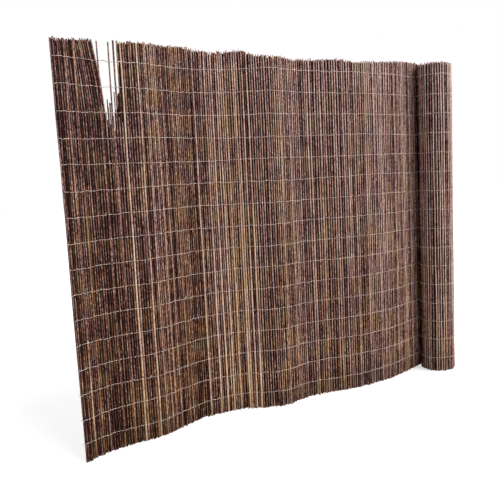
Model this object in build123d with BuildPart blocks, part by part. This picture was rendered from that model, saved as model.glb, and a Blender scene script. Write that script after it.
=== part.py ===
"""Willow screening fence: a mat of upright rods bound by wire, partly unrolled.

The mat stands on its cut ends. A long run of it meanders from the free end, and
the rest is still rolled up at the other end. Units are millimetres. X runs along
the unrolled length towards the roll, the roll's side of the mat faces -Y, and Z is up.
"""
import math
import os
import random

from build123d import *

# Mat
mat_height = 2000.0          # nominal length of the rods
rod_pitch = 14.0             # one rod, measured along the mat
joint_scatter = 1.2          # a joint between two rods wanders this far
rod_thickness = 14.0         # stout rods, from their crest on one face to that on the other
slim_rod_thickness = 12.4
web_thickness = 5.6          # where two rods press together
crest_width = 5.0            # flat crest of a rod on a face that shows

# Plan of the unrolled run: the points that it curves through, from the free end
bends = [
    (0, 0), (137, 53), (300, 72), (440, 70), (600, 122), (748, 163), (985, 138),
    (1105, 70), (1213, 34), (1400, 62), (1775, 2), (2112, 28),
]
facet_stray = 4.0            # the curve keeps this near to the facets that stand for it

# Roll
roll_centre = Vector(2421, -9)
roll_diameter = 239.0        # over the rods of the outer turn
turn_spacing = 17.0          # from one turn to the next, mat and air
turn_count = 2.75
facets_per_turn = 16
ridged_turns = 1.0           # of the roll from outside, with rods; the rest inside it is a plain strip
inner_thickness = 8.0        # of that strip

# Uneven tops: distance along the mat, and how far the rods there pass the nominal height
top_wave = [
    (0, -2), (260, 13), (600, 20), (760, 28), (920, 10), (1080, 22), (1170, -8),
    (1420, -20), (1700, -10), (1850, -24), (2300, 4), (2440, 12), (2520, -12), (4200, -14),
]
top_scatter = 9.0            # a bundle may differ this much from the wave
top_step = 5.0               # tops are cut to steps of this height
bundle_sizes = (2, 3, 4)     # rods that share one top

# Gaps between rods
gap_width = 7.0
gap_heights = (62.0, 84.0, 102.0)
gap_count = 70               # scattered over the unrolled run
sparse_runs = [(195, 350), (225, 345), (252, 330)]  # where the rods stand thin, from the top bay down
gap_margin = 40.0            # kept free at both ends of the run

# Binding wire
row_count = 16
lowest_row = 93.0            # middle of the lowest wire above the ground
top_margin = 84.0            # middle of the highest wire below the nominal height
wire_width = 2.4             # along the rods
wire_depth = 2.0             # out from the rods
wire_clearance = 0.2         # between wire and crest
inner_strand_gap = 60.0      # the strand on the roll's side stops this far before the roll
outer_strand_turns = 0.9     # of the roll's outer turn that the other strand follows

draw = random.Random(11)
row_spacing = (mat_height - lowest_row - top_margin) / (row_count - 1)
row_heights = [lowest_row + row_spacing * row for row in range(row_count)]


def left_of(direction):
    """The level direction a quarter turn to the left."""
    return Vector(-direction.Y, direction.X)


def polar(centre, radius, degrees):
    """A level point at a radius and bearing from a centre."""
    bearing = math.radians(degrees)
    return centre + Vector(math.cos(bearing), math.sin(bearing)) * radius


def roll_radius():
    """Radius of the mat's middle where the run meets the roll."""
    return (roll_diameter - rod_thickness) / 2


def roll_heading():
    """Bearing of the straight line from the last bend that just touches the roll."""
    to_centre = roll_centre - Vector(*bends[-1])
    bearing = math.degrees(math.atan2(to_centre.Y, to_centre.X))
    return bearing + math.degrees(math.asin(roll_radius() / to_centre.length))


def run_corners():
    """Corners of the unrolled run: facets along a smooth line through the bends."""
    points = [Vector(*bend) for bend in bends]
    headings = [(points[1] - points[0]).normalized()]
    headings += [(after - before).normalized() for before, after in zip(points, points[2:])]
    headings.append(polar(Vector(0, 0), 1, roll_heading()))
    corners = []
    for start, end, leaving, arriving in zip(points, points[1:], headings, headings[1:]):
        pull = (end - start).length / 3
        span = Bezier(start, start + leaving * pull, end - arriving * pull, end)
        across = left_of((end - start).normalized())
        stray = max(abs((span @ (step / 10) - start).dot(across)) for step in range(1, 10))
        facets = max(1, math.ceil(math.sqrt(stray / facet_stray)))
        corners += [span @ (facet / facets) for facet in range(facets)]
    return corners + [points[-1]]


def roll_corners():
    """Corners of the faceted roll, from where the run meets it to its inner end."""
    corners = []
    for facet in range(round(turn_count * facets_per_turn) + 1):
        turn = facet / facets_per_turn
        bearing = roll_heading() + 90 - 360 * turn
        corners.append(polar(roll_centre, roll_radius() - turn_spacing * turn, bearing))
    return corners


def corner_mitres(route):
    """For each corner of a route, the leftward step that lies 1 away from both its runs."""
    normals = [left_of((end - start).normalized()) for start, end in zip(route, route[1:])]
    mitres = [normals[0]]
    for before, after in zip(normals, normals[1:]):
        mitres.append((before + after) / (1 + before.dot(after)))
    return mitres + [normals[-1]]


def offset_route(route, distance):
    """The route moved sideways, to its left, with mitred corners."""
    return [corner + mitre * distance for corner, mitre in zip(route, corner_mitres(route))]


def binding_route(route, roll_start):
    """A wire's line: along the roll's side, round the first rod, and over the outside of the roll."""
    offset = rod_thickness / 2 + wire_clearance + wire_depth / 2
    outer_end = roll_start + round(facets_per_turn * outer_strand_turns)
    inner_strand = offset_route(route[:roll_start + 1], -offset)
    outer_strand = offset_route(route[:outer_end + 1], offset)
    inner_strand[-1] -= (route[roll_start] - route[roll_start - 1]).normalized() * inner_strand_gap
    past_first_rod = (route[0] - route[1]).normalized() * (wire_clearance + wire_depth / 2)
    fold = [inner_strand[0] + past_first_rod, outer_strand[0] + past_first_rod]
    return inner_strand[:0:-1] + fold + outer_strand[1:]


class Rod:
    """One rod's place: the joints where it starts and ends, and the crests on its two faces."""

    def __init__(self, start, end, start_mitre, end_mitre, travelled):
        self.start = start
        self.end = end
        self.start_mitre = start_mitre
        self.end_mitre = end_mitre
        self.travelled = travelled
        self.along = (end - start).normalized()
        self.across = left_of(self.along)
        self.thickness = draw.choice((slim_rod_thickness, rod_thickness))

    def crest(self, side, flat):
        """The crest on one face: two points where it is flat, one where it is a plain ridge."""
        middle = (self.start + self.end) / 2 + self.across * side * self.thickness / 2
        if not flat:
            return [middle]
        return [middle - self.along * crest_width / 2, middle + self.along * crest_width / 2]


def rods_along(route, last):
    """Rods set side by side along the facets of a route, as far as one of its corners."""
    rods = []
    travelled = 0.0
    mitres = corner_mitres(route)
    for facet, (start, end) in enumerate(zip(route[:last], route[1:last + 1])):
        length = (end - start).length
        along = (end - start).normalized()
        count = max(1, round(length / rod_pitch))
        joints = [length * joint / count + draw.uniform(-joint_scatter, joint_scatter) for joint in range(count)]
        joints = [0.0] + joints[1:] + [length]
        joint_mitres = [mitres[facet]] + [left_of(along)] * (count - 1) + [mitres[facet + 1]]
        for rod in range(count):
            rods.append(Rod(
                start + along * joints[rod], start + along * joints[rod + 1],
                joint_mitres[rod], joint_mitres[rod + 1], travelled + joints[rod],
            ))
        travelled += length
    return rods


def bundle_outline(bundle):
    """Closed outline of a bundle of neighbouring rods, with flat crests on the face that shows."""
    faces = []
    for side in (1, -1):
        points = [bundle[0].start + bundle[0].start_mitre * side * web_thickness / 2]
        for rod in bundle:
            showing_side = -1 if rod.travelled < run_length else 1
            points += rod.crest(side, side == showing_side)
            points.append(rod.end + rod.end_mitre * side * web_thickness / 2)
        faces.append(points)
    return faces[0] + faces[1][::-1]


def top_height(travelled):
    """Height of the wavy top at a distance along the mat."""
    for (before, low), (after, high) in zip(top_wave, top_wave[1:]):
        if travelled <= after:
            return mat_height + low + (high - low) * (travelled - before) / (after - before)
    return mat_height + top_wave[-1][1]


# Route of the mat and of its wires, with the plan's middle at the origin
run = run_corners()
roll_start = len(run)
ridges_end = roll_start + round(facets_per_turn * ridged_turns)
route = run + roll_corners()
wire_edge = offset_route(binding_route(route, roll_start), wire_depth / 2)
xs = [point.X for point in wire_edge]
ys = [point.Y for point in wire_edge]
plan_middle = Vector((min(xs) + max(xs)) / 2, (min(ys) + max(ys)) / 2)
route = [corner - plan_middle for corner in route]
run_length = sum((end - start).length for start, end in zip(route[:roll_start], route[1:roll_start + 1]))
rods = rods_along(route, ridges_end)

# Bundles of rods, sorted by the height of their tops
bundles_by_height = {}
first_rod = 0
while first_rod < len(rods):
    bundle = rods[first_rod:first_rod + draw.choice(bundle_sizes)]
    rise = top_height(bundle[0].travelled) + draw.uniform(-top_scatter, top_scatter) - mat_height
    bundles_by_height.setdefault(mat_height + top_step * round(rise / top_step), []).append(bundle)
    first_rod += len(bundle)

# Places of the gaps: the joint after a rod, in a bay between two wires
run_rods = [rod for rod in rods if gap_margin < rod.travelled < run_length - gap_margin]
gap_places = []
for bay, (first, last) in zip(range(row_count - 2, -1, -1), sparse_runs):
    gap_places += [(rod, bay) for rod in run_rods if first < rod.travelled < last]
sparse_start = min(first for first, last in sparse_runs)
sparse_end = max(last for first, last in sparse_runs)
dense_rods = [rod for rod in run_rods if not sparse_start < rod.travelled < sparse_end]
gap_places += draw.sample([(rod, bay) for rod in dense_rods for bay in range(row_count - 1)], gap_count)
gap_planes = {height: [] for height in gap_heights}
for rod, bay in gap_places:
    middle = Vector(rod.end.X, rod.end.Y, row_heights[bay] + row_spacing / 2)
    gap_planes[draw.choice(gap_heights)].append(Plane(origin=middle, x_dir=rod.along, z_dir=-rod.across))

os.makedirs("parts", exist_ok=True)

# The mat: rods side by side, each bundle cut to its own height, with gaps
with BuildPart() as willow_mat:
    cut_bundles = []
    for height, bundles in bundles_by_height.items():
        with BuildSketch():
            for bundle in bundles:
                with BuildLine():
                    Polyline(*bundle_outline(bundle), close=True)
                make_face()
        cut_bundles.append(extrude(amount=height, mode=Mode.PRIVATE))
    with BuildSketch():
        with BuildLine():
            outside = offset_route(route, inner_thickness / 2)[ridges_end:]
            inside = offset_route(route, -inner_thickness / 2)[ridges_end:]
            Polyline(*outside, *inside[::-1], close=True)
        make_face()
    inner_strip = extrude(amount=mat_height + top_wave[-1][1], mode=Mode.PRIVATE)
    add(cut_bundles + [inner_strip])
    for gap_height, planes in gap_planes.items():
        with BuildSketch(*planes):
            Polygon((-gap_width / 2, 0), (0, -gap_height / 2), (gap_width / 2, 0), (0, gap_height / 2))
    extrude(amount=rod_thickness, both=True, mode=Mode.SUBTRACT)
willow_mat.part.label = "willow_mat"
export_step(willow_mat.part, "parts/willow_mat.step")

# One binding wire, level with the ground
with BuildPart() as binding_wire:
    with BuildLine() as wire_line:
        Polyline(*binding_route(route, roll_start))
    with BuildSketch(Plane(origin=wire_line.line @ 0, x_dir=(0, 0, 1), z_dir=wire_line.line % 0)):
        with BuildLine():
            half_width, half_depth = wire_width / 2, wire_depth / 2
            Polyline((-half_width, half_depth), (0, -half_depth), (half_width, half_depth), close=True)
        make_face()
    sweep(path=wire_line.line, transition=Transition.RIGHT)

# The rows of wire, from the ground up
for row, height in enumerate(row_heights, start=1):
    with BuildPart() as wire_row:
        with Locations((0, 0, height)):
            add(binding_wire.part)
    wire_row.part.label = f"wire_row_{row:02d}"
    export_step(wire_row.part, f"parts/{wire_row.part.label}.step")
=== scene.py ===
"""Looks of the willow screening fence: its rods, binding wires, bark and studio."""

import bisect
import math
import random

import bmesh
import bpy
from mathutils import Matrix, Vector
from mathutils.geometry import interpolate_bezier


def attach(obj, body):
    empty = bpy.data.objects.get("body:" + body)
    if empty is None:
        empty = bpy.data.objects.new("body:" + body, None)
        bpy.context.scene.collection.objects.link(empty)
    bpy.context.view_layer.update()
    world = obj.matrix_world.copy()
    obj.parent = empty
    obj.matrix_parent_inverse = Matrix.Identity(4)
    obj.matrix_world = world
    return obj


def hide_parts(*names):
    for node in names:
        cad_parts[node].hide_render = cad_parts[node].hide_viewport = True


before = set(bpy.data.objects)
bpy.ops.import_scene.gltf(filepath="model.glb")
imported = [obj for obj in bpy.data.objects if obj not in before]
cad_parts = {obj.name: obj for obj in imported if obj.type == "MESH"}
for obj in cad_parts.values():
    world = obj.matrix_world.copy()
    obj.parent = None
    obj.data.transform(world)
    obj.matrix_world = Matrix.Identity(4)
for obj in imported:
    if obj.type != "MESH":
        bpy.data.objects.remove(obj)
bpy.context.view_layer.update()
draw = random.Random(27)

# The mat's route in plan, in metres: bends of the unrolled run from its free end, then the roll
FREE_END = Vector((-1.26549, -0.02604))
BENDS = [
    (0, 0), (0.137, 0.053), (0.300, 0.072), (0.440, 0.070), (0.600, 0.122), (0.748, 0.163),
    (0.985, 0.138), (1.105, 0.070), (1.213, 0.034), (1.400, 0.062), (1.775, 0.002), (2.112, 0.028),
]
BEND_STEPS = 24
ROLL_CENTRE = (2.421, -0.009)
ROLL_RADIUS = 0.1125
TURN_SPACING = 0.017
TURN_COUNT = 2.75
TURN_STEPS = 72
EDGE_MARGIN = 0.004

# Rods, in a layer on each face; a table's rows are (distance along the mat, value)
MAT_HEIGHT = 2.0
ROD_SIDES = 5
ROD_SPANS = 11
ROD_SPACINGS = [(0, 0.0132), (1.20, 0.0136), (1.50, 0.0162), (4.2, 0.0162)]
SPACING_SHARES = (0.94, 1.06)
WIDTH_SHARES = (0.48, 0.58)
TIP_SHARES = (0.80, 0.95)
LAYER_DEPTH = 0.0030
DEPTH_SHIFTS = (-0.0010, 0.0010)
FRONT_START = 0.005
BACK_START = 0.010
BACK_CUTS = (0.0, 0.012)
ROLL_GAP = 0.004
ROLL_STAGGER = 0.005
TOP_WAVE = [
    (0, -0.002), (0.26, 0.013), (0.60, 0.020), (0.76, 0.028), (0.92, 0.010), (1.08, 0.022),
    (1.17, -0.008), (1.42, -0.020), (1.70, -0.010), (1.85, -0.024), (2.30, 0.004), (2.44, 0.012),
    (2.52, -0.012), (2.70, -0.024), (2.88, -0.012), (4.20, -0.014),
]

# Thin rods in the middle of the mat, toned near black as painted shade in the slits between the
# outer rods
CORE_SPACING = 0.0046
CORE_THICKNESS = 0.0056
CORE_TIP_SHARE = 0.95
CORE_SPANS = 6
CORE_MARGIN = 0.008
CORE_SHADE_TONES = (-0.40, -0.30)
CORE_WARMTH = 0.3
CORE_CUTS = (0.002, 0.012)

# What one rod is drawn from: its ends, lean, bow, wave and fade, and how often these turn along it
BUTT_DOWN_SHARE = 0.6
FOOT_LIFTS = (0.0, 0.010)
TOP_SHIFTS = (-0.008, 0.003)
LEANS = (-0.004, 0.004)
BOWS = (-0.0020, 0.0020)
BOW_TURNS = (0.5, 1.4)
WAVES = (0.0005, 0.0016)
WAVE_TURNS = (2.0, 3.6)
DEPTH_WAVE = 0.0008
FADES = (0.02, 0.10)
FADE_TURNS = (0.9, 2.6)
SWELLING = 0.05
SWELLING_RATE = 17

# The free end leans out, and near its top the rods part: those before it lean away, few stand in it
FREE_END_LEAN = -0.018
FREE_END_REACH = 0.12
PARTING = 0.270
PARTING_END = 0.350
PARTING_FOOT = 1.68
PARTING_LEAN = 0.050
PARTING_CURVE = 1.3
PARTED_TOPS = (-0.10, 0.10)
STRAGGLERS = (0.246, 0.303, 0.331, 0.350)
STRAGGLER_WIDTHS = (0.0098, 0.0075)
STRAGGLER_LEAN_SHARE, STRAGGLER_BOW_SHARE = 0.6, 0.4

# Rods that stand out: distance along the mat, tone at the foot and at the top, and warmth
PALE_RODS = [
    (0.074, 0.52, 0.40, 0.70), (0.118, 0.40, 0.43, 0.95), (0.364, 0.84, 0.86, 0.75),
    (0.382, 0.48, 0.44, 0.35), (0.425, 0.44, 0.42, 0.50), (0.447, 0.68, 0.82, 0.70),
    (0.480, 0.62, 0.50, 0.60), (0.520, 0.56, 0.46, 0.55), (0.556, 0.66, 0.48, 0.60),
    (0.592, 0.60, 0.44, 0.60), (0.655, 0.52, 0.44, 0.95), (0.690, 0.48, 0.44, 0.90),
    (0.804, 0.82, 0.58, 0.60), (0.872, 0.84, 0.60, 0.65), (0.914, 0.92, 0.64, 0.70),
    (0.952, 0.90, 0.60, 0.70), (0.999, 0.84, 0.56, 0.70), (1.044, 0.92, 0.60, 0.70),
    (1.067, 0.82, 0.56, 0.65), (1.092, 0.88, 0.62, 0.70), (1.118, 0.94, 0.64, 0.70),
    (1.300, 0.64, 0.62, 0.35), (1.372, 0.62, 0.66, 0.40), (1.520, 0.66, 0.70, 0.30),
    (1.600, 0.60, 0.68, 0.55), (1.690, 0.62, 0.70, 0.30), (1.812, 0.68, 0.64, 0.45),
    (1.905, 0.64, 0.70, 0.30), (2.060, 0.62, 0.72, 0.25), (2.155, 0.68, 0.66, 0.40),
    (2.260, 0.62, 0.70, 0.30), (2.340, 0.60, 0.64, 0.40),
]
PALE_WIDTHS = (0.0116, 0.0082)
PALE_RELIEF = 0.0008
PALE_LEAN_SHARE, PALE_BOW_SHARE = 0.4, 0.5

# Tone and warmth of the bark along the mat, and how they shift from a rod's foot to its top; the
# tone bands along the run are partly the bark's own tone and partly painted light and shade of the
# mat's folds
BARK_AND_PAINTED_LIGHT_TONES = [
    (0, 0.33), (0.30, 0.30), (0.40, 0.33), (0.50, 0.44), (0.56, 0.42), (0.62, 0.37), (0.86, 0.42),
    (0.95, 0.60), (1.05, 0.55), (1.15, 0.53), (1.40, 0.54), (1.53, 0.50), (1.68, 0.58),
    # painted shade: the run's end falls to near black from 2.43 to 2.46, in the crevice where it
    # meets the roll
    (1.80, 0.54), (1.92, 0.58), (2.10, 0.52), (2.39, 0.56), (2.43, 0.44), (2.46, 0.08),
    # painted light: the roll's outer turn is lighter from 2.50 to 3.00 to make up for its side
    # lying away from the key lamp; painted shade: from 3.03 to 3.10 it falls to near black where it
    # lies against the run
    (2.50, 0.73), (2.74, 0.74), (2.86, 0.72), (2.94, 0.68), (3.00, 0.59), (3.03, 0.32),
    (3.06, 0.03), (3.10, 0.03), (3.16, 0.50), (4.2, 0.68),
]
BARK_WARMTHS = [
    (0, 0.46), (0.35, 0.52), (0.70, 0.60), (1.10, 0.52), (1.50, 0.36), (2.30, 0.30), (2.46, 0.14),
    (4.2, 0.22),
]
TONE_DEVIATION = 0.04
LOWEST_TONE = 0.02
WARMTH_DEVIATION = 0.2
TOP_TONE_RISE = 0.12
TOP_WARMTH_DROP = 0.52
SHIFT_LEVEL = 0.4

# Steps of tone between neighbours, and how many lighter rods stand between two dark ones; the dark
# rods are partly the bark's own dark tone and partly painted shade, standing in for the shaded
# slits between rods
LIGHT_STEPS = (-0.05, 0.00, 0.03, 0.07)
DARK_STEPS = [(0, -0.20), (2.40, -0.20), (2.48, -0.28), (4.2, -0.28)]
FIRST_LIGHTER = 2
NEAR_PATTERN = (9, 12, 16)
FAR_PATTERN = (4, 5, 7, 9)
FAR_START = 1.2

# A rod's strip of the bake map: its sides, a cut end above and below them, a gap to the next strip
BAKE_SIDE_START, BAKE_SIDE_LENGTH = 0.03, 0.94
BAKE_LOW_END, BAKE_HIGH_END = 0.015, 0.985
BAKE_END_WIDTH, BAKE_END_HEIGHT = 0.4, 0.008
BAKE_STRIP_START, BAKE_STRIP_WIDTH = 0.05, 0.9

# Binding wires, and by row the places where two lengths are twisted together
ROW_COUNT = 16
LOWEST_ROW = 0.093
HIGHEST_ROW = 1.916
OUTER_TURN_SHARE = 0.92
WIRE_RADIUS = 0.0012
WIRE_SEAT = 0.0084
BUNDLE_WIDTHS = (0.012, 0.026)
BUNDLE_SHARES = (0.34, 0.66)
WIRE_WANDER = 0.0042
WANDER_SHARE = 0.7
LEAST_DRIFT = 0.001
DRIFT_RATE = 5
WIRE_JOINTS = {
    2: (0.40, 1.52), 4: (0.71, 2.06), 5: (0.66,), 7: (0.98, 1.75), 9: (0.22,), 11: (1.31,),
    13: (0.53, 2.20), 14: (2.28,),
}
JOINT_STEPS = 13
JOINT_TURN_STEPS = 5
JOINT_RADIUS = 0.0022
JOINT_ADVANCE = 0.0009
JOINT_RISE = 0.0007

# Camera at the photograph's viewpoint
CAMERA_PLACE = Vector((-2.0852, -2.9908, 1.3466))
CAMERA_HEADING = math.radians(31.4)
CAMERA_DIP = math.radians(6.71)
CAMERA_ROLL = math.radians(2.77)
FOCAL_PIXELS = 642.9
PHOTO_PIXELS = 500
SENSOR_WIDTH = 36.0

# Studio: lamps by place and strength, and the glow of the floor and the surround
LAMPS = {"key_light": ((2.8, -4.6, 4.6), 2.8), "back_light": ((-1.0, 5.0, 4.0), 1.3)}
LAMP_SPREAD = math.radians(55)
LAMP_TARGET = Vector((0, 0, 1))
FLOOR_REACH = 30
FLOOR_GREY = 0.8
FLOOR_GLOW = 0.55
SURROUND_LIGHT = 0.26
WHITE = (1, 1, 1, 1)


def srgb(red, green, blue):
    """A linear colour from the 0 to 255 values of a picture."""
    def linear(value):
        share = value / 255
        return share / 12.92 if share <= 0.04045 else ((share + 0.055) / 1.055) ** 2.4
    return (linear(red), linear(green), linear(blue), 1.0)


def value_along(table, distance):
    """Straight-line reading of a table of (distance, value)."""
    for (before, low), (after, high) in zip(table, table[1:]):
        if distance <= after:
            return low + (high - low) * (distance - before) / (after - before)
    return table[-1][1]


class MatRoute:
    """The line that the mat follows on the ground, read by distance from the free end."""

    def __init__(self):
        corners = [FREE_END + Vector(bend) for bend in BENDS]
        centre = FREE_END + Vector(ROLL_CENTRE)
        to_centre = centre - corners[-1]
        heading = math.atan2(to_centre.y, to_centre.x)
        heading += math.asin(ROLL_RADIUS / to_centre.length)
        points = self.curve_through(corners, Vector((math.cos(heading), math.sin(heading))))
        roll = []
        for step in range(int(TURN_COUNT * TURN_STEPS) + 1):
            turn = step / TURN_STEPS
            bearing = heading + math.pi / 2 - math.tau * turn
            reach = ROLL_RADIUS - TURN_SPACING * turn
            roll.append(centre + Vector((math.cos(bearing), math.sin(bearing))) * reach)
        self.points = points + roll
        self.marks = [0.0]
        for start, end in zip(self.points, self.points[1:]):
            self.marks.append(self.marks[-1] + (end - start).length)
        self.run_length = self.marks[len(points)]
        self.length = self.marks[-1]

    @staticmethod
    def curve_through(corners, last_heading):
        """A smooth line through the bends that leaves the last one along a heading."""
        headings = [(corners[1] - corners[0]).normalized()]
        headings += [(after - before).normalized() for before, after in zip(corners, corners[2:])]
        headings.append(last_heading)
        points = []
        for index, (start, end) in enumerate(zip(corners, corners[1:])):
            pull = (end - start).length / 3
            leave = start + headings[index] * pull
            arrive = end - headings[index + 1] * pull
            span = interpolate_bezier(start, leave, arrive, end, BEND_STEPS)
            points += [point.to_2d() for point in span[:-1]]
        return points + [corners[-1]]

    def at(self, distance):
        """Point on the line, the direction along the mat, and the one to its left."""
        index = bisect.bisect_right(self.marks, distance) - 1
        index = min(max(index, 0), len(self.points) - 2)
        start, end = self.points[index], self.points[index + 1]
        along = (end - start).normalized()
        point = start + along * (distance - self.marks[index])
        return point, along, Vector((-along.y, along.x))


route = MatRoute()


class Rod:
    """One willow rod: where it stands in the mat and how it bends, tapers and is coloured."""

    def __init__(self, distance, depth, butt, tip, tones, warmth):
        self.distance = distance
        self.depth = depth
        self.butt, self.tip = (butt, tip) if draw.random() < BUTT_DOWN_SHARE else (tip, butt)
        self.tones = tones
        self.warmth = warmth
        self.foot = draw.uniform(*FOOT_LIFTS)
        self.top = MAT_HEIGHT + value_along(TOP_WAVE, distance) + draw.uniform(*TOP_SHIFTS)
        self.lean = draw.uniform(*LEANS) + free_end_lean(distance)
        self.bow = draw.uniform(*BOWS)
        self.bow_turns = draw.uniform(*BOW_TURNS)
        self.bow_start = draw.uniform(0, math.tau)
        self.wave = draw.uniform(*WAVES)
        self.wave_turns = draw.uniform(*WAVE_TURNS)
        self.wave_start = draw.uniform(0, math.tau)
        self.twist = draw.uniform(0, math.tau)
        self.fade = draw.uniform(*FADES)
        self.fade_turns = draw.uniform(*FADE_TURNS)
        self.fade_start = draw.uniform(0, math.tau)
        self.parts = True

    def steady(self, lean_share, bow_share):
        """Keep a share of the lean and the bow, and stand still where the rods part."""
        self.lean *= lean_share
        self.bow *= bow_share
        self.parts = False

    def place(self, share):
        """Distance along the mat, depth across it and height, at a share of the rod's length."""
        height = self.foot + (self.top - self.foot) * share
        bow_angle = self.bow_start + math.tau * self.bow_turns * share
        wave_angle = self.wave_start + math.tau * self.wave_turns * share
        distance = self.distance + self.lean * (share - 0.5)
        distance += self.bow * math.sin(bow_angle)
        distance += self.wave * math.sin(wave_angle)
        depth = self.depth + DEPTH_WAVE * math.cos(wave_angle)
        if self.parts:
            distance = parted(distance, height)
        first = EDGE_MARGIN + FREE_END_LEAN * share * 0.5
        return min(max(distance, first), route.length - EDGE_MARGIN), depth, height

    def tone(self, share):
        """Tone at a share of the rod's length: it drifts from foot to top and fades in and out."""
        low, high = self.tones
        fade = self.fade * math.sin(self.fade_start + math.tau * self.fade_turns * share)
        return low + (high - low) * share + fade + TOP_TONE_RISE * (share - SHIFT_LEVEL)

    def radius(self, share):
        """Radius at a share of the rod's length, with a slight swelling here and there."""
        swell = 1 + SWELLING * math.sin(self.twist + SWELLING_RATE * share)
        return (self.butt + (self.tip - self.butt) * share) / 2 * swell


def free_end_lean(distance):
    """How far the first rods lean out; the lean dies away along the mat."""
    return FREE_END_LEAN * max(0.0, 1 - distance / FREE_END_REACH)


def parted(distance, height):
    """A rod's distance along the mat once the rods before the parting have leaned away from it."""
    if height < PARTING_FOOT or not 0 < distance < PARTING:
        return distance
    share = (height - PARTING_FOOT) / (MAT_HEIGHT - PARTING_FOOT)
    return distance - PARTING_LEAN * share ** PARTING_CURVE * (distance / PARTING)


def bark_and_shade_tones(distance, dark=False):
    """Tones of a plain rod at its foot and its top, read from a table that holds painted light and
    shade; a dark rod's extra darkness is partly dark bark and partly painted shade of a slit
    between rods.
    """
    shift = value_along(DARK_STEPS, distance) if dark else draw.choice(LIGHT_STEPS)
    middle = value_along(BARK_AND_PAINTED_LIGHT_TONES, distance) + shift + draw.gauss(0, TONE_DEVIATION)
    drift = draw.gauss(0, TONE_DEVIATION)
    return max(middle - drift, LOWEST_TONE), max(middle + drift, LOWEST_TONE)


def bark_warmth(distance):
    """How tan a rod is, from mauve-grey to orange-brown."""
    warmth = draw.gauss(value_along(BARK_WARMTHS, distance), WARMTH_DEVIATION)
    return min(max(warmth, 0.0), 1.0)


def layer_of_rods(start, end, side):
    """A row of rods on one face of the mat: several lighter ones, a dark one, and so on."""
    rods = []
    distance = start
    lighter = FIRST_LIGHTER
    while distance < end:
        spacing = value_along(ROD_SPACINGS, distance)
        thick = spacing * draw.uniform(*WIDTH_SHARES)
        thin = thick * draw.uniform(*TIP_SHARES)
        depth = side * (LAYER_DEPTH + draw.uniform(*DEPTH_SHIFTS))
        # a dark rod: partly dark bark, partly painted shade of a slit between rods
        dark = lighter == 0
        tones = bark_and_shade_tones(distance, dark)
        rods.append(Rod(distance, depth, thick, thin, tones, bark_warmth(distance)))
        pattern = NEAR_PATTERN if distance < FAR_START else FAR_PATTERN
        lighter = draw.choice(pattern) if dark else lighter - 1
        distance += spacing * draw.uniform(*SPACING_SHARES)
    return rods


def core_rods(start, end):
    """Thin straight rods in the middle of the mat, which close it between the outer ones; their
    near-black tone is painted shade in the slits between the outer rods.
    """
    rods = []
    distance = start
    while distance < end:
        # near-black tone: painted shade between the outer rods
        tone = draw.uniform(*CORE_SHADE_TONES)
        tip = CORE_THICKNESS * CORE_TIP_SHARE
        rod = Rod(distance, 0.0, CORE_THICKNESS, tip, (tone, tone), CORE_WARMTH)
        rod.lean = free_end_lean(distance)
        rod.bow, rod.wave, rod.fade = 0.0, 0.0, 0.0
        rod.top -= draw.uniform(*CORE_CUTS)
        rods.append(rod)
        distance += CORE_SPACING
    return rods


def run_rods():
    """Rods of the standing run: plain ones, cut short in the parting, the pale ones, the core."""
    front = layer_of_rods(FRONT_START, route.run_length, -1)
    back = layer_of_rods(BACK_START, route.run_length, 1)
    for rod in back:
        rod.top -= draw.uniform(*BACK_CUTS)
    core = core_rods(CORE_MARGIN, route.length - CORE_MARGIN)
    for rod in front + back + core:
        if PARTING < rod.distance < PARTING_END:
            rod.top = PARTING_FOOT + draw.uniform(*PARTED_TOPS)
    for distance in STRAGGLERS:
        depth = LAYER_DEPTH * draw.choice((-1, 1))
        tones = bark_and_shade_tones(distance)
        rod = Rod(distance, depth, *STRAGGLER_WIDTHS, tones, bark_warmth(distance))
        rod.steady(STRAGGLER_LEAN_SHARE, STRAGGLER_BOW_SHARE)
        front.append(rod)
    pale = []
    for distance, low, high, warmth in PALE_RODS:
        replaced = min(front, key=lambda rod: abs(rod.distance - distance))
        front.remove(replaced)
        depth = -LAYER_DEPTH - PALE_RELIEF
        rod = Rod(replaced.distance, depth, *PALE_WIDTHS, (low, high), warmth)
        rod.butt, rod.tip = PALE_WIDTHS
        rod.steady(PALE_LEAN_SHARE, PALE_BOW_SHARE)
        pale.append(rod)
    return front, back, pale, core


def rod_blank(spans):
    """A straight unit rod of a few spans with its bake map, as a mesh to be repeated."""
    bm = bmesh.new()
    bmesh.ops.create_cone(bm, segments=ROD_SIDES, radius1=1, radius2=1, depth=1, cap_ends=True)
    bmesh.ops.translate(bm, verts=bm.verts, vec=(0, 0, 0.5))
    quarter_turn = Matrix.Rotation(-math.pi / 2, 3, "Z")
    bmesh.ops.rotate(bm, verts=bm.verts, cent=(0, 0, 0), matrix=quarter_turn)
    uprights = [edge for edge in bm.edges if abs(edge.verts[0].co.z - edge.verts[1].co.z) > 0.5]
    bmesh.ops.subdivide_edges(bm, edges=uprights, cuts=spans - 1, use_grid_fill=True)
    bake = bm.loops.layers.uv.new("OFBake")
    for face in bm.faces:
        cap = abs(face.normal.z) > 0.5
        face.smooth = not cap
        face.material_index = 1 if cap else 0
        centre = face.calc_center_median()
        bearing = math.atan2(centre.y, centre.x) % math.tau
        for loop in face.loops:
            x, y, z = loop.vert.co
            if cap:
                level = BAKE_HIGH_END if z > 0.5 else BAKE_LOW_END
                loop[bake].uv = (0.5 + BAKE_END_WIDTH * x, level + BAKE_END_HEIGHT * y)
            else:
                turn = (math.atan2(y, x) - bearing + math.pi) % math.tau - math.pi
                level = BAKE_SIDE_START + BAKE_SIDE_LENGTH * z
                loop[bake].uv = ((bearing + turn) / math.tau, level)
    mesh = bpy.data.meshes.new("rod_blank")
    bm.to_mesh(mesh)
    bm.free()
    return mesh


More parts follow.
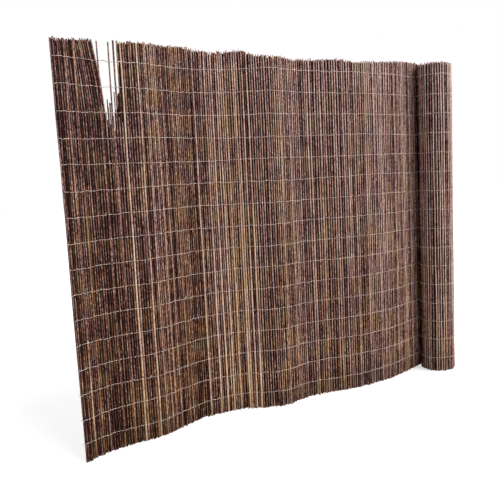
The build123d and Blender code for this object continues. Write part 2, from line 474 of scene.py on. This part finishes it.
def rods_mesh(name, rods, blank):
    """One mesh of many rods, each bent along the mat, with tone and warmth at every vertex."""
    bm = bmesh.new()
    tone = bm.verts.layers.float.new("tone")
    warmth = bm.verts.layers.float.new("warmth")
    for column, rod in enumerate(rods):
        old_verts, old_faces = len(bm.verts), len(bm.faces)
        bm.from_mesh(blank)
        bm.verts.ensure_lookup_table()
        bm.faces.ensure_lookup_table()
        bake = bm.loops.layers.uv["OFBake"]
        for vert in bm.verts[old_verts:]:
            share = vert.co.z
            angle = math.atan2(vert.co.y, vert.co.x) + rod.twist
            distance, depth, height = rod.place(share)
            point, along, across = route.at(distance)
            ring = along * math.cos(angle) + across * math.sin(angle)
            point = point + across * depth + ring * rod.radius(share)
            vert.co = (point.x, point.y, height)
            vert[tone] = rod.tone(share)
            vert[warmth] = rod.warmth - TOP_WARMTH_DROP * (share - SHIFT_LEVEL)
        for face in bm.faces[old_faces:]:
            for loop in face.loops:
                place = column + BAKE_STRIP_START + BAKE_STRIP_WIDTH * loop[bake].uv.x
                loop[bake].uv.x = place / len(rods)
    mesh = bpy.data.meshes.new(name)
    bm.to_mesh(mesh)
    bm.free()
    return mesh


def add_piece(name, mesh, materials, slot, *nodes):
    """A finished piece in the scene, riding on the one body and standing for CAD nodes."""
    piece = bpy.data.objects.new(name, mesh)
    bpy.context.scene.collection.objects.link(piece)
    for material in materials:
        mesh.materials.append(material)
    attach(piece, "root")
    if nodes:
        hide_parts(*nodes)


def wire_strands(row, height, end):
    """Two lines of points for a row's strands, which swap faces between bundles of rods."""
    strands = ([], [])
    distance = 0.0
    side = 1 if row % 2 else -1
    drift, drift_start = draw.uniform(LEAST_DRIFT, WIRE_WANDER), draw.uniform(0, math.tau)
    level = height
    while distance < end:
        width = draw.uniform(*BUNDLE_WIDTHS)
        next_level = height + draw.uniform(-WIRE_WANDER, WIRE_WANDER) * WANDER_SHARE
        next_level += drift * math.sin(drift_start + distance * DRIFT_RATE)
        for share in (0.0, *BUNDLE_SHARES):
            crossing = share == 0.0
            seat, apart = (0.0, WIRE_RADIUS) if crossing else (WIRE_SEAT, 0.0)
            rise = level + (next_level - level) * share
            spot, _, across = route.at(distance + width * share)
            for strand, face in zip(strands, (side, -side)):
                point = spot + across * face * seat
                strand.append((point.x, point.y, rise + face * apart))
        side = -side
        level = next_level
        distance += width
    return list(strands)


def wire_joint(distance, height):
    """A short twist of wire that stands on the face of the mat where two lengths meet."""
    line = []
    for step in range(JOINT_STEPS):
        point, _, across = route.at(distance + JOINT_ADVANCE * step)
        angle = math.tau * step / JOINT_TURN_STEPS
        point = point - across * (WIRE_SEAT + WIRE_RADIUS + JOINT_RADIUS * math.cos(angle))
        rise = height + JOINT_RISE * step + JOINT_RADIUS * math.sin(angle)
        line.append((point.x, point.y, rise))
    return line


def wire_mesh(name, lines):
    """Round wire along lines of points, as one mesh."""
    curve = bpy.data.curves.new(name, "CURVE")
    curve.dimensions = "3D"
    curve.bevel_depth = WIRE_RADIUS
    curve.bevel_resolution = 0
    curve.use_fill_caps = True
    for line in lines:
        spline = curve.splines.new("POLY")
        spline.points.add(len(line) - 1)
        for spot, place in zip(spline.points, line):
            spot.co = (*place, 1.0)
    holder = bpy.data.objects.new(name, curve)
    mesh = bpy.data.meshes.new_from_object(holder)
    bpy.data.objects.remove(holder)
    bpy.data.curves.remove(curve)
    mesh.name = name
    return mesh


def new_material(name):
    """An empty node material and its shader."""
    material = bpy.data.materials.new(name)
    material.use_nodes = True
    return material, material.node_tree.nodes["Principled BSDF"]


def feed(tree, value, socket):
    """A socket's value, given as a link or as it is."""
    if isinstance(value, bpy.types.NodeSocket):
        tree.links.new(value, socket)
    else:
        socket.default_value = value


def math_node(tree, operation, first, second):
    """A maths node on two links or numbers."""
    node = tree.nodes.new("ShaderNodeMath")
    node.operation = operation
    feed(tree, first, node.inputs[0])
    feed(tree, second, node.inputs[1])
    return node.outputs["Value"]


def scaled(tree, place, factors):
    """A place multiplied by a link or by a number for each axis."""
    node = tree.nodes.new("ShaderNodeVectorMath")
    node.operation = "MULTIPLY"
    feed(tree, place, node.inputs[0])
    feed(tree, factors, node.inputs[1])
    return node.outputs["Vector"]


def noise(tree, place, scale, detail):
    """Noise at a place, at a scale that is a link or a number."""
    node = tree.nodes.new("ShaderNodeTexNoise")
    feed(tree, place, node.inputs["Vector"])
    feed(tree, scale, node.inputs["Scale"])
    feed(tree, detail, node.inputs["Detail"])
    return node.outputs["Fac"]


def spread(tree, value, low, high, to_low, to_high):
    """A value stretched from one range to another and kept inside it."""
    node = tree.nodes.new("ShaderNodeMapRange")
    names = ("Value", "From Min", "From Max", "To Min", "To Max")
    for name, given in zip(names, (value, low, high, to_low, to_high)):
        feed(tree, given, node.inputs[name])
    return node.outputs["Result"]


def mixed(tree, share, first, second):
    """A mix of two colours, each a link or a plain colour."""
    node = tree.nodes.new("ShaderNodeMix")
    node.data_type = "RGBA"
    feed(tree, share, node.inputs["Factor"])
    feed(tree, first, node.inputs[6])
    feed(tree, second, node.inputs[7])
    return node.outputs[2]


def attribute(tree, name):
    """A number that the mesh holds at each vertex."""
    node = tree.nodes.new("ShaderNodeAttribute")
    node.attribute_name = name
    return node.outputs["Fac"]


def add_bump(tree, shader, height, strength, distance):
    """Bump from a height value."""
    bump = tree.nodes.new("ShaderNodeBump")
    feed(tree, strength, bump.inputs["Strength"])
    feed(tree, distance, bump.inputs["Distance"])
    feed(tree, height, bump.inputs["Height"])
    feed(tree, bump.outputs["Normal"], shader.inputs["Normal"])


def colour_ramp(tree, value, *stops):
    """Colours along a value, from (place, colour) stops."""
    ramp = tree.nodes.new("ShaderNodeValToRGB")
    feed(tree, value, ramp.inputs["Fac"])
    while len(ramp.color_ramp.elements) < len(stops):
        ramp.color_ramp.elements.new(0.5)
    for element, (place, colour) in zip(ramp.color_ramp.elements, stops):
        element.position = place
        element.color = colour
    return ramp.outputs["Color"]


def streaks_group():
    """Node group: long streaks, spans, blotches, flecks and fine relief that run along a rod."""
    group = bpy.data.node_groups.new("lengthwise_streaks", "ShaderNodeTree")
    for name, default in (("Streak scale", 260.0), ("Blotch scale", 14.0), ("Stretch", 0.05)):
        socket = group.interface.new_socket(name, in_out="INPUT", socket_type="NodeSocketFloat")
        socket.default_value = default
    for name in ("Streak", "Span", "Blotch", "Fleck", "Relief"):
        group.interface.new_socket(name, in_out="OUTPUT", socket_type="NodeSocketFloat")
    inputs = group.nodes.new("NodeGroupInput")
    outputs = group.nodes.new("NodeGroupOutput")
    place = group.nodes.new("ShaderNodeTexCoord").outputs["Object"]
    flatten = group.nodes.new("ShaderNodeCombineXYZ")
    for name, value in (("X", 1.0), ("Y", 1.0), ("Z", inputs.outputs["Stretch"])):
        feed(group, value, flatten.inputs[name])
    stretched = scaled(group, place, flatten.outputs["Vector"])
    streak = noise(group, stretched, inputs.outputs["Streak scale"], 3.0)
    fine = noise(group, stretched, 900.0, 2.0)
    results = {
        "Streak": streak,
        "Span": noise(group, scaled(group, place, (1.0, 1.0, 0.12)), 95.0, 1.0),
        "Blotch": noise(group, place, inputs.outputs["Blotch scale"], 4.0),
        "Fleck": noise(group, scaled(group, place, (1.0, 1.0, 0.45)), 150.0, 1.0),
        "Relief": math_node(group, "ADD", streak, fine),
    }
    for name, result in results.items():
        feed(group, result, outputs.inputs[name])
    return group


def place_streaks(tree, group, streak_scale, blotch_scale, stretch):
    """Outputs of the streaks group in a material, with that material's own values."""
    node = tree.nodes.new("ShaderNodeGroup")
    node.node_tree = group
    feed(tree, streak_scale, node.inputs["Streak scale"])
    feed(tree, blotch_scale, node.inputs["Blotch scale"])
    feed(tree, stretch, node.inputs["Stretch"])
    return node.outputs


def bark_material(group):
    """Willow bark, mauve-grey to tan by tone and warmth, streaked along and greened in patches."""
    material, shader = new_material("willow_bark")
    tree = material.node_tree
    streaks = place_streaks(tree, group, streak_scale=230.0, blotch_scale=9.0, stretch=0.07)
    tone = attribute(tree, "tone")
    for name, *ranges in (
        ("Streak", 0.30, 0.70, -0.10, 0.10),
        ("Span", 0.30, 0.70, -0.09, 0.09),
        ("Blotch", 0.35, 0.65, -0.06, 0.06),
        ("Fleck", 0.56, 0.72, 0.0, 0.30),
        ("Fleck", 0.28, 0.44, -0.28, 0.0),
    ):
        tone = math_node(tree, "ADD", tone, spread(tree, streaks[name], *ranges))
    cool = colour_ramp(
        tree, tone,
        (0.0, srgb(27, 9, 6)), (0.22, srgb(85, 51, 48)), (0.45, srgb(141, 107, 104)),
        (0.65, srgb(191, 152, 145)), (0.85, srgb(222, 187, 178)), (1.0, srgb(235, 211, 202)),
    )
    warm = colour_ramp(
        tree, tone,
        (0.0, srgb(28, 10, 4)), (0.22, srgb(84, 50, 30)), (0.45, srgb(144, 102, 74)),
        (0.65, srgb(190, 150, 114)), (0.85, srgb(221, 185, 148)), (1.0, srgb(236, 203, 171)),
    )
    tan_patch = spread(tree, streaks["Blotch"], 0.33, 0.67, -0.40, 0.40)
    tan = math_node(tree, "ADD", attribute(tree, "warmth"), tan_patch)
    green = spread(tree, streaks["Blotch"], 0.55, 0.72, 0.0, 0.26)
    colour = mixed(tree, green, mixed(tree, tan, cool, warm), srgb(92, 86, 62))
    roughness = spread(tree, streaks["Streak"], 0.3, 0.7, 0.48, 0.70)
    feed(tree, colour, shader.inputs["Base Color"])
    feed(tree, roughness, shader.inputs["Roughness"])
    feed(tree, 0.1, shader.inputs["Specular IOR Level"])
    add_bump(tree, shader, streaks["Relief"], 0.35, 0.0006)
    return material


def cut_wood_material(group):
    """The cut ends of the rods: pale wood, greyed in patches."""
    material, shader = new_material("cut_willow")
    tree = material.node_tree
    streaks = place_streaks(tree, group, streak_scale=700.0, blotch_scale=60.0, stretch=1.0)
    share = spread(tree, streaks["Blotch"], 0.35, 0.65, 0.0, 1.0)
    colour = mixed(tree, share, srgb(204, 172, 124), srgb(128, 104, 80))
    roughness = spread(tree, streaks["Streak"], 0.3, 0.7, 0.6, 0.85)
    feed(tree, colour, shader.inputs["Base Color"])
    feed(tree, roughness, shader.inputs["Roughness"])
    add_bump(tree, shader, streaks["Relief"], 0.3, 0.0005)
    return material


def wire_material(group):
    """Galvanised wire, dulled in patches."""
    material, shader = new_material("galvanised_wire")
    tree = material.node_tree
    streaks = place_streaks(tree, group, streak_scale=300.0, blotch_scale=35.0, stretch=1.0)
    share = spread(tree, streaks["Blotch"], 0.38, 0.64, 0.0, 1.0)
    colour = mixed(tree, share, srgb(242, 228, 219), srgb(194, 178, 168))
    roughness = spread(tree, streaks["Streak"], 0.3, 0.7, 0.35, 0.6)
    feed(tree, colour, shader.inputs["Base Color"])
    feed(tree, roughness, shader.inputs["Roughness"])
    feed(tree, 0.35, shader.inputs["Metallic"])
    return material


def place_camera():
    """The photograph's viewpoint, as a camera with the fitted focal length."""
    cosine, sine = math.cos(CAMERA_HEADING), math.sin(CAMERA_HEADING)
    ahead = Vector((sine, cosine, 0)) * math.cos(CAMERA_DIP)
    ahead.z = -math.sin(CAMERA_DIP)
    level = Vector((cosine, -sine, 0))
    below = ahead.cross(level)
    right = level * math.cos(CAMERA_ROLL) + below * math.sin(CAMERA_ROLL)
    down = below * math.cos(CAMERA_ROLL) - level * math.sin(CAMERA_ROLL)
    turn = Matrix((right, -down, -ahead)).transposed().to_4x4()
    lens = bpy.data.cameras.new("photo_camera")
    lens.sensor_width = SENSOR_WIDTH
    lens.lens = SENSOR_WIDTH * FOCAL_PIXELS / PHOTO_PIXELS
    camera = bpy.data.objects.new("photo_camera", lens)
    camera.matrix_world = Matrix.Translation(CAMERA_PLACE) @ turn
    bpy.context.scene.collection.objects.link(camera)
    bpy.context.scene.camera = camera


def soft_sun(name, place, strength):
    """A soft even lamp that shines from a place towards the object's middle."""
    lamp = bpy.data.lights.new(name, "SUN")
    lamp.angle = LAMP_SPREAD
    lamp.energy = strength
    holder = bpy.data.objects.new(name, lamp)
    holder.location = place
    holder.rotation_euler = (LAMP_TARGET - Vector(place)).to_track_quat("-Z", "Y").to_euler()
    bpy.context.scene.collection.objects.link(holder)


def whiten(tree, socket, light, seen):
    """One strength for light on the object, another for what the camera and reflections see."""
    path = tree.nodes.new("ShaderNodeLightPath")
    ray = path.outputs["Is Camera Ray"]
    for other in ("Is Glossy Ray", "Is Transmission Ray"):
        ray = math_node(tree, "MAXIMUM", ray, path.outputs[other])
    feed(tree, spread(tree, ray, 0.0, 1.0, light, seen), socket)


def studio():
    """Pale floor, white surround and soft lamps."""
    bm = bmesh.new()
    bmesh.ops.create_grid(bm, x_segments=1, y_segments=1, size=FLOOR_REACH)
    mesh = bpy.data.meshes.new("studio_floor")
    bm.to_mesh(mesh)
    bm.free()
    floor = bpy.data.objects.new("studio_floor", mesh)
    bpy.context.scene.collection.objects.link(floor)
    material, shader = new_material("studio_floor")
    shader.inputs["Base Color"].default_value = (FLOOR_GREY, FLOOR_GREY, FLOOR_GREY, 1)
    shader.inputs["Roughness"].default_value = 0.9
    shader.inputs["Emission Color"].default_value = WHITE
    whiten(material.node_tree, shader.inputs["Emission Strength"], 0.0, FLOOR_GLOW)
    mesh.materials.append(material)
    world = bpy.data.worlds.new("studio_world")
    world.use_nodes = True
    bpy.context.scene.world = world
    backdrop = world.node_tree.nodes["Background"]
    backdrop.inputs["Color"].default_value = WHITE
    whiten(world.node_tree, backdrop.inputs["Strength"], SURROUND_LIGHT, 1.0)
    for name, (place, strength) in LAMPS.items():
        soft_sun(name, place, strength)
    bpy.context.scene.view_settings.view_transform = "Standard"


streaks = streaks_group()
bark = bark_material(streaks)
cut_wood = cut_wood_material(streaks)
wire = wire_material(streaks)

front, back, pale, core = run_rods()
roll_start = route.run_length + ROLL_GAP
roll_outside = layer_of_rods(roll_start, route.length, 1)
roll_inside = layer_of_rods(roll_start + ROLL_STAGGER, route.length, -1)

blank = rod_blank(ROD_SPANS)
core_blank = rod_blank(CORE_SPANS)
for name, rods, pattern, nodes in (
    ("run_front_rods", front, blank, ["willow_mat"]),
    ("run_back_rods", back, blank, []),
    ("run_pale_rods", pale, blank, []),
    ("inner_rods", core, core_blank, []),
    ("roll_outer_rods", roll_outside, blank, []),
    ("roll_inner_rods", roll_inside, blank, []),
):
    add_piece(name, rods_mesh(name, rods, pattern), (bark, cut_wood), "willow", *nodes)
bpy.data.meshes.remove(blank)
bpy.data.meshes.remove(core_blank)

outer_turn = route.run_length + OUTER_TURN_SHARE * math.tau * ROLL_RADIUS
for row in range(ROW_COUNT):
    height = LOWEST_ROW + (HIGHEST_ROW - LOWEST_ROW) * row / (ROW_COUNT - 1)
    name = f"binding_wire_{row + 1:02d}"
    lines = wire_strands(row, height, outer_turn)
    lines += [wire_joint(distance, height) for distance in WIRE_JOINTS.get(row, ())]
    mesh = wire_mesh(name, lines)
    add_piece(name, mesh, (wire,), "binding_wire", f"wire_row_{row + 1:02d}")

studio()
place_camera()
